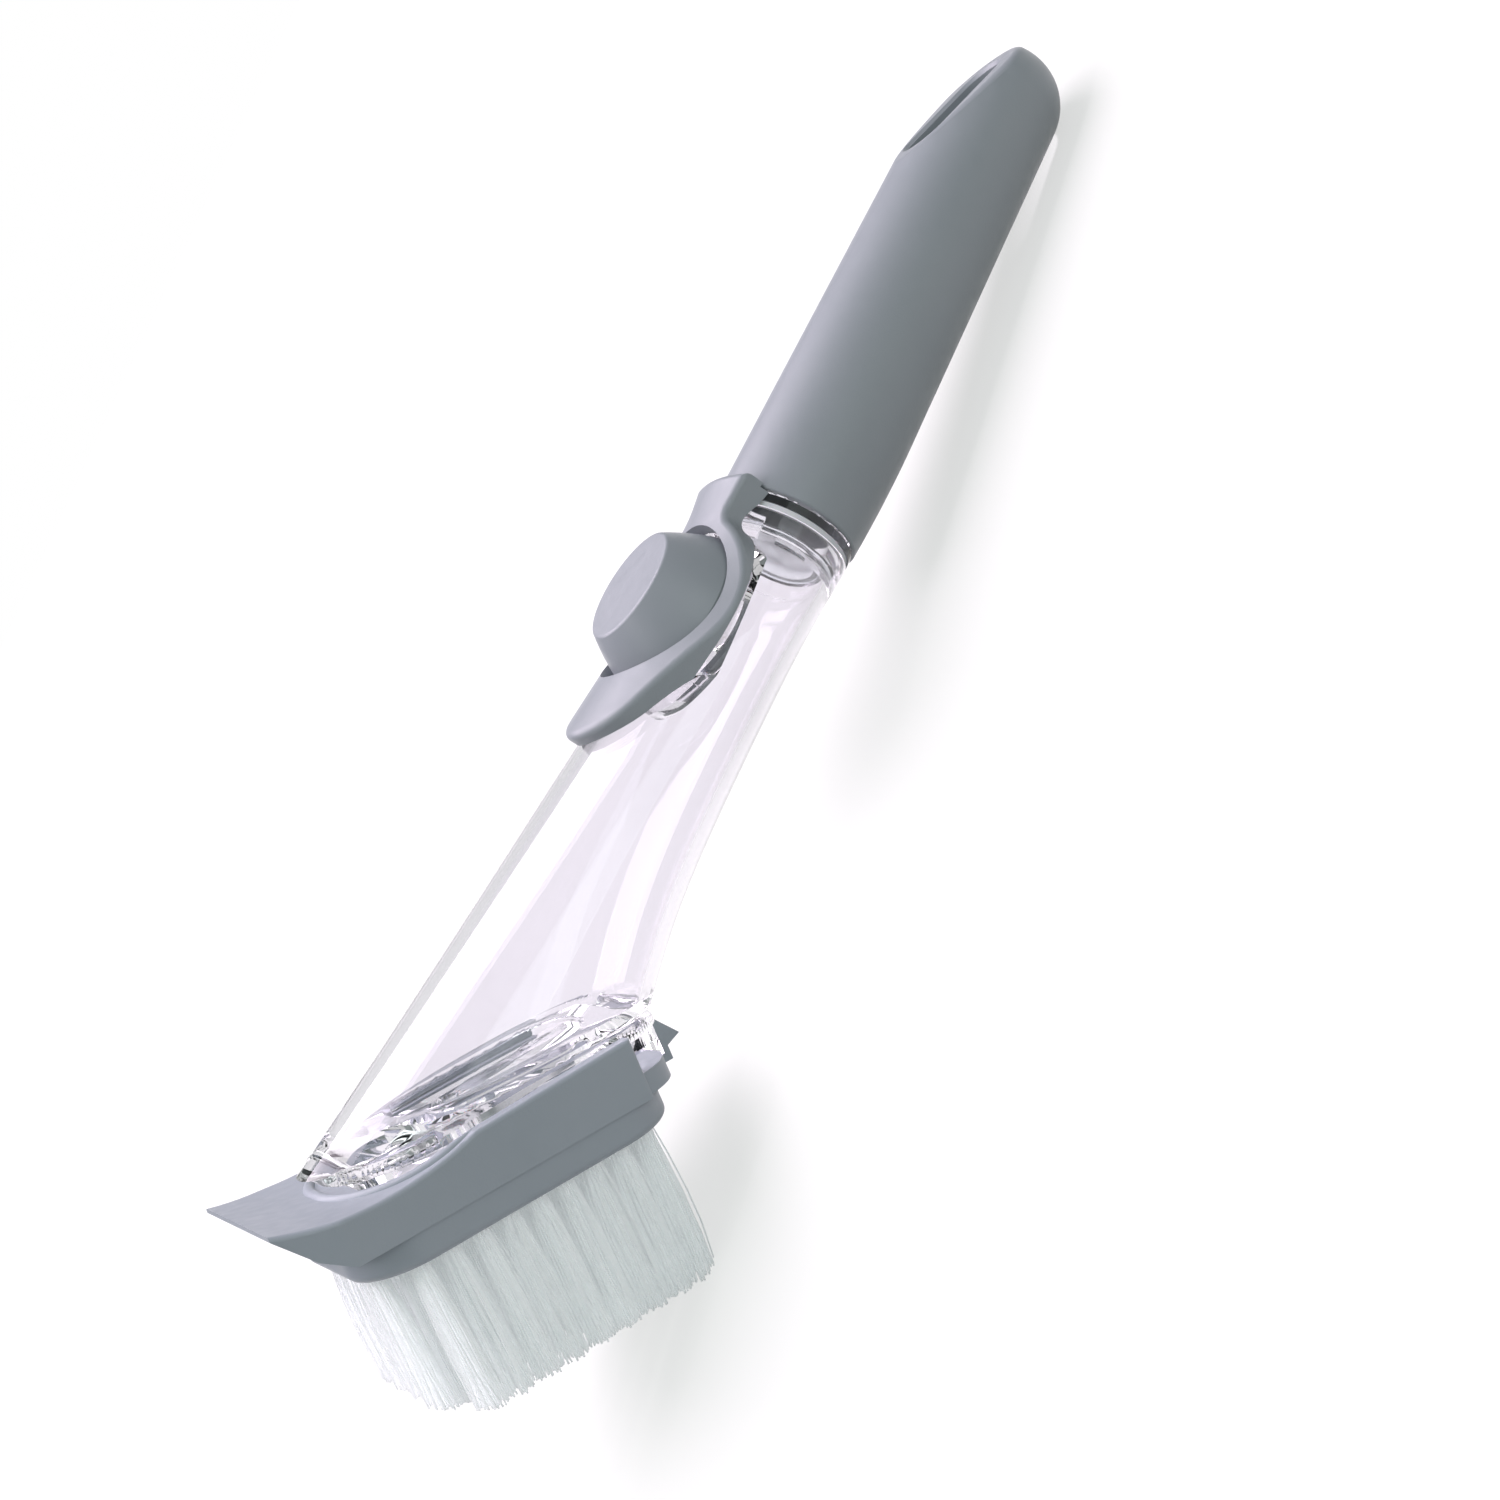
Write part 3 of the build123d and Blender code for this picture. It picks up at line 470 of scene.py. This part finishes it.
def trimmed_skin(name, grow, cuts):
    """Skin of the tube, cut off by planes and closed there; a plane keeps the side it points to."""
    points, faces = tube_skin(grow)
    mesh = bpy.data.meshes.new(name)
    mesh.from_pydata(points, [], faces)
    shape = bmesh.new()
    shape.from_mesh(mesh)
    bpy.data.meshes.remove(mesh)
    for spot, facing in cuts:
        everything = list(shape.verts) + list(shape.edges) + list(shape.faces)
        cut = bmesh.ops.bisect_plane(
            shape, geom=everything, plane_co=spot, plane_no=facing, clear_inner=True
        )
        rim = [part for part in cut["geom_cut"] if isinstance(part, bmesh.types.BMEdge)]
        bmesh.ops.contextual_create(shape, geom=rim)
    return solid_of(name, shape)


def rod(name, place, axis, radius, length):
    """Round rod that starts at a place and runs along an axis."""
    shape = bmesh.new()
    turned = up.rotation_difference(axis).to_matrix().to_4x4()
    bmesh.ops.create_cone(
        shape,
        cap_ends=True,
        segments=rod_sides,
        radius1=radius,
        radius2=radius,
        depth=length,
        matrix=Matrix.Translation(Vector(place) + axis * (length / 2)) @ turned,
    )
    return solid_of(name, shape)


def carve(body, tool, operation):
    """Join or cut a body with a tool, which is used up."""
    step = body.modifiers.new("step", "BOOLEAN")
    step.operation = operation
    step.solver = "EXACT"
    step.object = tool
    depsgraph = bpy.context.evaluated_depsgraph_get()
    mesh = bpy.data.meshes.new_from_object(body.evaluated_get(depsgraph), depsgraph=depsgraph)
    body.modifiers.remove(step)
    body.data = mesh
    bpy.data.objects.remove(tool)


def foot_opening():
    """Cutter for the opening in the foot, a rounded oblong between the tube and the foot plate."""
    outline = []
    for end, side, start in ((1, 1, 0), (-1, 1, 90), (-1, -1, 180), (1, -1, 270)):
        centre_u = opening_toe - opening_corner if end > 0 else opening_heel + opening_corner
        centre_y = side * (opening_half_width - opening_corner)
        for step in range(corner_steps + 1):
            turn = radians(start + 90 * step / corner_steps)
            outline.append((centre_u + opening_corner * cos(turn), centre_y + opening_corner * sin(turn)))
    shape = bmesh.new()
    rings = []
    for level in (foot_top - weld_depth - opening_sink, foot_top + 2 * tube_wall):
        places = [foot_heel + foot_along * u + Vector((0, -y, 0)) + foot_up * level for u, y in outline]
        rings.append([shape.verts.new(place) for place in places])
    lower, upper = rings
    for step, vertex in enumerate(lower):
        following = (step + 1) % len(lower)
        shape.faces.new((vertex, lower[following], upper[following], upper[step]))
    shape.faces.new(lower)
    shape.faces.new(tuple(reversed(upper)))
    return solid_of("opening", shape)


core_bottom = seat_top - seat_thickness
core_radius = well_radius + well_wall
hollow_heel = foot_heel + foot_up * (foot_top + tube_wall)
hollow_end = Vector((button_station + core_radius, 0, 0))
reservoir = trimmed_skin("reservoir", 0.0, [(foot_heel + foot_up * (foot_top - weld_depth), foot_up)])
hollow = trimmed_skin("hollow", -tube_wall, [(hollow_heel, foot_up), (hollow_end, Vector((-1, 0, 0)))])
core = rod("core", (button_station, 0, core_bottom), up, core_radius, long_cut)
carve(hollow, core, "DIFFERENCE")
carve(reservoir, hollow, "DIFFERENCE")
for cutter in (
    rod("bore", (neck_end, 0, 0), Vector((1, 0, 0)), neck_bore, short_cut),
    rod("well", (button_station, 0, seat_top), up, well_radius, long_cut),
    rod("port", (button_station, 0, core_bottom - overrun), up, port_radius, short_cut),
    foot_opening(),
):
    carve(reservoir, cutter, "DIFFERENCE")

sole_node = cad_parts["reservoir_sole"]
sole = bmesh.new()
sole.from_mesh(sole_node.data)
sole.transform(wand_frame.inverted() @ sole_node.matrix_world)
bmesh.ops.remove_doubles(sole, verts=sole.verts, dist=skin_merge / 2)
carve(reservoir, solid_of("sole", sole), "UNION")
reservoir.data.transform(wand_frame)
reservoir.data.name = "reservoir"
merged = bmesh.new()
merged.from_mesh(reservoir.data)
bmesh.ops.remove_doubles(merged, verts=merged.verts, dist=skin_merge * mm)
merged.to_mesh(reservoir.data)
merged.free()
smooth(reservoir.data)
reservoir.data.materials.clear()
reservoir.data.materials.append(clear_wall)
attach(reservoir, "reservoir")
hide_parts("reservoir_body", "reservoir_sole")

# Outlet: a slit silicone valve pressed into the foot by a clear ring, with a soft ring below it that
# seals the foot against the port of the head.
silicone_skin = soft_plastic(
    "silicone_skin",
    colour=(0.70, 0.72, 0.73),
    shade=(0.64, 0.66, 0.68),
    rough=0.35,
    softness=0.4,
    depth=1.5 * mm,
)
dress("outlet_valve", silicone_skin)
dress("port_seal", silicone_skin)
dress("valve_retainer", clear_wall)

# Pump: a grey collar clamped on its white gasket in the reservoir, with a silicone diaphragm over it. The
# diaphragm is moulded in one piece, and the button squeezes its dome while its foot stays in place.
dress("pump_collar", satin_grey)
dress("collar_gasket", seal_white)
dome_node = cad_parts["pump_diaphragm"]
dome = bmesh.new()
dome.from_mesh(dome_node.data)
dome.transform(dome_node.matrix_world)
bmesh.ops.remove_doubles(dome, verts=dome.verts, dist=skin_merge / 2 * mm)
diaphragm = solid_of("diaphragm", dome)
smooth(diaphragm.data)
diaphragm.data.materials.append(silicone_skin)
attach(diaphragm, "reservoir")
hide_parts("pump_diaphragm")
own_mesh(diaphragm)

# Bezel and button: grey satin mouldings. The bezel is snapped over the reservoir and frames the button,
# which slides down in the round well.
dress("bezel", satin_grey)
dress("button_cap", satin_grey)

# Head: tray and latch, moulded in a lighter grey than the handle and with a slightly coarser grain, and
# the block for the bristles welded under the tray.
head_grey = grey_plastic(
    "head_grey",
    colour=(0.325, 0.36, 0.395),
    shade=(0.308, 0.344, 0.378),
    high_gloss=0.36,
    low_gloss=0.48,
    grain_size=2200.0,
    grain_depth=0.04 * mm,
)
dress("head_tray", head_grey)
dress("release_latch", head_grey)
dress("bristle_block", head_grey)

# Raised lip on the tray's deck round the toe of the foot, moulded with the tray. It fades into the side
# walls at both ends.
seam_heel = Vector((-0.084589, 0, 0.022047))
lip_radius = 1.1
lip_offset = 0.7
lip_start = 30.0
lip_sink = 0.35
lip_end_share = 0.25
lip_sides = 14
lip_straight_steps = 6
lip_bend_steps = 24
lip_fade_steps = 8
recess_toe = 52.7
recess_half_width = 19.9
recess_corner = 17.9
deck_points = ((31.0, 10.0), (52.5, 7.7), (67.2, 10.5))

head_turn = foot_turn + wand_turn
head_forward = Vector((-cos(head_turn), 0, sin(head_turn)))
head_up = Vector((sin(head_turn), 0, cos(head_turn)))
head_axes = Matrix((head_forward, Vector((0, -1, 0)), head_up)).transposed().to_4x4()
head_place = Matrix.Translation(seam_heel) @ head_axes
head_frame = head_place @ Matrix.Scale(mm, 4)


def deck_height(reach):
    """Height of the deck's hollow on the plane of symmetry, a parabola through three points."""
    total = 0.0
    for u_here, height_here in deck_points:
        for u_other, _ in deck_points:
            if u_other != u_here:
                height_here *= (reach - u_other) / (u_here - u_other)
        total += height_here
    return total


corner_u = recess_toe - recess_corner
corner_y = recess_half_width - recess_corner
bend_radius = recess_corner + lip_offset
path = []
for step in range(lip_straight_steps):
    path.append((lip_start + (corner_u - lip_start) * step / lip_straight_steps, corner_y + bend_radius))
for step in range(lip_bend_steps + 1):
    turn = radians(90 * step / lip_bend_steps)
    path.append((corner_u + bend_radius * sin(turn), corner_y + bend_radius * cos(turn)))
path += [(reach, -side) for reach, side in reversed(path)]
last = len(path) - 1
points = []
for step, (reach, side) in enumerate(path):
    heading = (Vector(path[min(step + 1, last)]) - Vector(path[max(step - 1, 0)])).normalized()
    outward = Vector((-heading.y, heading.x))
    fade = min(1.0, step / lip_fade_steps, (last - step) / lip_fade_steps)
    size = lip_radius * (lip_end_share + (1 - lip_end_share) * sin(pi / 2 * fade))
    base = deck_height(min(max(reach, deck_points[0][0]), recess_toe + bend_radius)) - lip_sink
    for corner in range(lip_sides):
        turn = 2 * pi * corner / lip_sides
        sideways = outward * (size * cos(turn))
        points.append((reach + sideways.x, side + sideways.y, base + size * sin(turn)))
faces = [tuple(range(lip_sides)), tuple(reversed(range(len(points) - lip_sides, len(points))))]
for step in range(last):
    for corner in range(lip_sides):
        near = step * lip_sides + corner
        following = step * lip_sides + (corner + 1) % lip_sides
        faces.append((near, near + lip_sides, following + lip_sides, following))
lip_mesh = bpy.data.meshes.new("lip")
lip_mesh.from_pydata([head_frame @ Vector(point) for point in points], [], faces)
for polygon in lip_mesh.polygons:
    polygon.use_smooth = True
lip_shape = bmesh.new()
lip_shape.from_mesh(lip_mesh)
bpy.data.meshes.remove(lip_mesh)
deck_lip = solid_of("deck_lip", lip_shape)
deck_lip.data.materials.append(head_grey)
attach(deck_lip, "head")

# Bristles: nylon filaments, folded in half and driven into the block's holes with flat steel staples.
# They flare a little towards their cut tips, and the cut is rounded at the heel and more at the toe.
staple_metal, tree, shader = material_of("staple_metal")
shader.inputs["Metallic"].default_value = 1.0
spot = tree.nodes.new("ShaderNodeTexCoord").outputs["Object"]
steel = two_tone(tree, noise(tree, spot, scale=1500.0), colour=(0.58, 0.57, 0.55), shade=(0.48, 0.47, 0.46))
tree.links.new(steel, shader.inputs["Base Color"])
scratches = spread(tree, noise(tree, spot, scale=800.0), low=0.28, high=0.42)
tree.links.new(scratches, shader.inputs["Roughness"])
dress("tuft_staples", staple_metal)

# Painted light: the filaments glow faintly. This painted brightness stands in for light scattered through
# the translucent nylon.
painted_glow_colour = (0.9, 0.95, 0.97)
painted_glow_strength = 0.1
filament_softness = 0.5
shadow_share = 0.96
nylon, tree, shader = material_of("nylon_filament")
shader.inputs["Subsurface Weight"].default_value = filament_softness
shader.inputs["Subsurface Scale"].default_value = 1.0 * mm
shader.inputs["Subsurface Radius"].default_value = (1, 1, 1)
# Painted glow on the nylon, an emission that no lamp gives.
shader.inputs["Emission Color"].default_value = (*painted_glow_colour, 1)
shader.inputs["Emission Strength"].default_value = painted_glow_strength
spot = tree.nodes.new("ShaderNodeTexCoord").outputs["Object"]
cloud = spread(tree, noise(tree, spot, scale=700.0, detail=3.0), 0.0, 1.0)
milky = two_tone(tree, cloud, colour=(0.93, 0.94, 0.94), shade=(0.89, 0.905, 0.91))
tree.links.new(milky, shader.inputs["Base Color"])
tree.links.new(spread(tree, noise(tree, spot, scale=1200.0), low=0.3, high=0.42), shader.inputs["Roughness"])
shadow = tree.nodes.new("ShaderNodeLightPath").outputs["Is Shadow Ray"]
let_through(tree, shader, calc(tree, "MULTIPLY", shadow, shadow_share), tint=(1, 1, 1))

tuft_start = 1.95
tuft_pitch = 5.6
tuft_columns = 10
tuft_rows = 6
tuft_row_pitch = 6.6
tuft_half_reach = 3.2
tuft_turn = 6.28
golden_turn = 2.39996
block_face = 5.5
root_sink = 1.0
tip_depth = 32.8
tip_splay = 0.35
toe_trim_start = 41.0
toe_trim_length = 11.35
toe_trim_depth = 1.6
toe_trim_power = 3.0
heel_trim_start = 4.0
heel_trim_length = 5.6
heel_trim_depth = 1.8
heel_lean = -1.5
lean_range = 4.5
side_lean = 4.5
bow_reach = 0.9
bow_side_share = -0.6
half_step = 0.5
filament_count = 64
filament_points = 5
filament_sides = 4
turn_seed = 3
ragged_seed = 5
splay_seed_along = 7
splay_seed_across = 9
bow_seed = 11


def open_socket(sockets, name):
    """Socket of a name that a node's settings leave open."""
    return next(place for place in sockets if place.enabled and place.name == name)


class Field:
    """Short way to add and join the nodes of one geometry node tree."""

    def __init__(self, name):
        self.tree = bpy.data.node_groups.new(name, "GeometryNodeTree")
        self.tree.interface.new_socket("Geometry", in_out="OUTPUT", socket_type="NodeSocketGeometry")
        self.given = self.tree.nodes.new("NodeGroupInput")
        self.result = self.tree.nodes.new("NodeGroupOutput")
        self.names = {}

    def size(self, label, value, kind="Float"):
        """Named input of the tree."""
        made = self.tree.interface.new_socket(label, in_out="INPUT", socket_type="NodeSocket" + kind)
        made.default_value = value
        self.names[label] = made.identifier
        return self.given.outputs[label]

    def add(self, kind, settings=(), **sockets):
        """Node with its settings and its inputs, by name or number, as values or other nodes' outputs."""
        made = self.tree.nodes.new(kind)
        for label, value in dict(settings).items():
            setattr(made, label, value)
        for label, value in sockets.items():
            key = int(label[1:]) if label[0] == "_" else label.replace("_", " ")
            feed(self.tree, made.inputs[key], value)
        return made

    def math(self, operation, *values):
        """Math node on values or outputs."""
        return calc(self.tree, operation, *values)

    def plus(self, one, other):
        """Sum of two values or outputs."""
        return self.math("ADD", one, other)

    def minus(self, one, other):
        """Difference of two values or outputs."""
        return self.math("SUBTRACT", one, other)

    def times(self, one, other):
        """Product of two values or outputs."""
        return self.math("MULTIPLY", one, other)

    def over(self, one, other):
        """Quotient of two values or outputs."""
        return self.math("DIVIDE", one, other)

    def vector(self, x, y, z):
        """Vector from three values or outputs."""
        return self.add("ShaderNodeCombineXYZ", _0=x, _1=y, _2=z).outputs[0]

    def add_vectors(self, one, other):
        """Sum of two vectors."""
        return self.add("ShaderNodeVectorMath", {"operation": "ADD"}, _0=one, _1=other).outputs[0]

    def random(self, low, high, seed, index):
        """Random number for each index."""
        made = self.tree.nodes.new("FunctionNodeRandomValue")
        made.data_type = "FLOAT"
        for name, value in (("Min", low), ("Max", high), ("Seed", seed)):
            open_socket(made.inputs, name).default_value = value
        self.tree.links.new(index, open_socket(made.inputs, "ID"))
        return open_socket(made.outputs, "Value")

    def keep(self, geometry, name, value, kind):
        """Geometry whose points carry a value under a name."""
        settings = {"data_type": kind, "domain": "POINT"}
        made = self.add("GeometryNodeStoreNamedAttribute", settings, Geometry=geometry, Name=name)
        self.tree.links.new(value, open_socket(made.inputs, "Value"))
        return made.outputs[0]

    def kept(self, name, kind):
        """Value that the points carry under a name."""
        made = self.add("GeometryNodeInputNamedAttribute", {"data_type": kind}, Name=name)
        return open_socket(made.outputs, "Attribute")


tufts = Field("tuft_field")
filaments = tufts.size("Filaments", filament_count, "Int")
filament_radius = tufts.size("Filament Radius", 0.2 * mm)
tuft_radius = tufts.size("Tuft Radius", 1.7 * mm)
flare = tufts.size("Flare", 1.0 * mm)
ragged = tufts.size("Ragged", 0.4 * mm)

total = tufts.times(filaments, float(tuft_columns * tuft_rows))
scattered = tufts.add("GeometryNodePoints", Count=total)
index = tufts.add("GeometryNodeInputIndex").outputs[0]
tuft = tufts.math("FLOOR", tufts.over(index, filaments))
column = tufts.math("FLOOR", tufts.over(tuft, float(tuft_rows)))
row = tufts.minus(tuft, tufts.times(column, float(tuft_rows)))
strand = tufts.math("MODULO", index, filaments)
ring = tufts.math("SQRT", tufts.over(tufts.plus(strand, half_step), filaments))
around = tufts.plus(tufts.times(strand, golden_turn), tufts.random(0.0, tuft_turn, turn_seed, tuft))
ring_u = tufts.times(ring, tufts.math("COSINE", around))
ring_y = tufts.times(ring, tufts.math("SINE", around))
middle_row = (tuft_rows - 1) / 2
u = tufts.plus(tufts.times(column, tuft_pitch * mm), tuft_start * mm)
y = tufts.times(tufts.minus(row, middle_row), tuft_row_pitch * mm)

tip_u = tufts.plus(u, tufts.times(ring_u, tuft_half_reach * mm))
toe_share = tufts.over(tufts.minus(tip_u, toe_trim_start * mm), toe_trim_length * mm)
toe_trim = tufts.times(
    tufts.math("POWER", tufts.math("MAXIMUM", 0.0, toe_share), toe_trim_power), toe_trim_depth * mm
)
heel_share = tufts.over(tufts.minus(heel_trim_start * mm, tip_u), heel_trim_length * mm)
heel_trim = tufts.times(tufts.math("MAXIMUM", 0.0, heel_share), heel_trim_depth * mm)
level_cut = tufts.minus(tufts.minus(tip_depth * mm, heel_trim), toe_trim)
depth = tufts.plus(level_cut, tufts.times(ragged, tufts.random(-1.0, 1.0, ragged_seed, index)))

root_depth = (block_face - root_sink) * mm
root_u = tufts.plus(u, tufts.times(ring_u, tuft_radius))
root_y = tufts.plus(y, tufts.times(ring_y, tuft_radius))
root = tufts.vector(root_u, root_y, -root_depth)
u_share = tufts.over(column, float(tuft_columns - 1))
lean = tufts.math("TANGENT", tufts.plus(tufts.times(u_share, radians(lean_range)), radians(heel_lean)))
half_width = middle_row * tuft_row_pitch * mm
roll = tufts.math("TANGENT", tufts.over(tufts.times(y, radians(side_lean)), half_width))
fall = tufts.minus(depth, root_depth)
stray_u = tufts.random(-tip_splay * mm, tip_splay * mm, splay_seed_along, index)
stray_y = tufts.random(-tip_splay * mm, tip_splay * mm, splay_seed_across, index)
splay_u = tufts.plus(tufts.times(ring_u, flare), stray_u)
splay_y = tufts.plus(tufts.times(ring_y, flare), stray_y)
reach = tufts.vector(
    tufts.minus(splay_u, tufts.times(fall, lean)),
    tufts.plus(splay_y, tufts.times(fall, roll)),
    tufts.times(fall, -1.0),
)
bow = tufts.random(-bow_reach * mm, bow_reach * mm, bow_seed, index)
at_toe = tufts.math("GREATER_THAN", column, tuft_columns - 1 - half_step)
row_offset = tufts.math("ABSOLUTE", tufts.minus(row, middle_row))
left_out = tufts.times(at_toe, tufts.math("GREATER_THAN", row_offset, middle_row - half_step))

placed = tufts.add("GeometryNodeSetPosition", Geometry=scattered.outputs[0], Position=root).outputs[0]
marked = tufts.keep(tufts.keep(placed, "reach", reach, "FLOAT_VECTOR"), "bow", bow, "FLOAT")
thinned = tufts.add("GeometryNodeDeleteGeometry", {"domain": "POINT"}, Geometry=marked, Selection=left_out)
straight = tufts.add("GeometryNodeCurvePrimitiveLine", Start=(0, 0, 0), End=up)
stepped = tufts.add("GeometryNodeResampleCurve", Curve=straight.outputs[0], Count=filament_points)
planted = tufts.add(
    "GeometryNodeInstanceOnPoints", Points=thinned.outputs[0], Instance=stepped.outputs[0]
)
real = tufts.add("GeometryNodeRealizeInstances", Geometry=planted.outputs[0])

share = tufts.add("GeometryNodeSplineParameter").outputs["Factor"]
here = tufts.add("ShaderNodeSeparateXYZ", _0=tufts.add("GeometryNodeInputPosition").outputs[0]).outputs
flat = tufts.vector(here[0], here[1], tufts.minus(here[2], share))
stretch = tufts.add(
    "ShaderNodeVectorMath", {"operation": "SCALE"}, _0=tufts.kept("reach", "FLOAT_VECTOR"), Scale=share
)
swing = tufts.times(tufts.kept("bow", "FLOAT"), tufts.math("SINE", tufts.times(share, pi)))
bend = tufts.vector(swing, tufts.times(swing, bow_side_share), 0.0)
bent = tufts.add_vectors(tufts.add_vectors(flat, stretch.outputs[0]), bend)
shaped = tufts.add("GeometryNodeSetPosition", Geometry=real.outputs[0], Position=bent)
section = tufts.add(
    "GeometryNodeCurvePrimitiveCircle",
    {"mode": "RADIUS"},
    Resolution=filament_sides,
    Radius=filament_radius,
)
solid = tufts.add(
    "GeometryNodeCurveToMesh",
    Curve=shaped.outputs[0],
    Profile_Curve=section.outputs[0],
    Fill_Caps=True,
)
finished = tufts.add("GeometryNodeSetMaterial", Geometry=solid.outputs[0], Material=nylon)
tufts.tree.links.new(finished.outputs[0], tufts.result.inputs[0])

field = put("field", bpy.data.meshes.new("field"))
grown = field.modifiers.new("tufts", "NODES")
grown.node_group = tufts.tree
grown[tufts.names["Filaments"]] = filament_count
depsgraph = bpy.context.evaluated_depsgraph_get()
bristle_mesh = bpy.data.meshes.new_from_object(field.evaluated_get(depsgraph), depsgraph=depsgraph)
bpy.data.objects.remove(field)
bristle_mesh.transform(head_place)
# Tips that would reach below the counter are bent level with it.
for vertex in bristle_mesh.vertices:
    vertex.co.z = max(vertex.co.z, 0.0)
bristles = put("bristles", bristle_mesh)
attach(bristles, "head")
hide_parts("bristle_tufts")
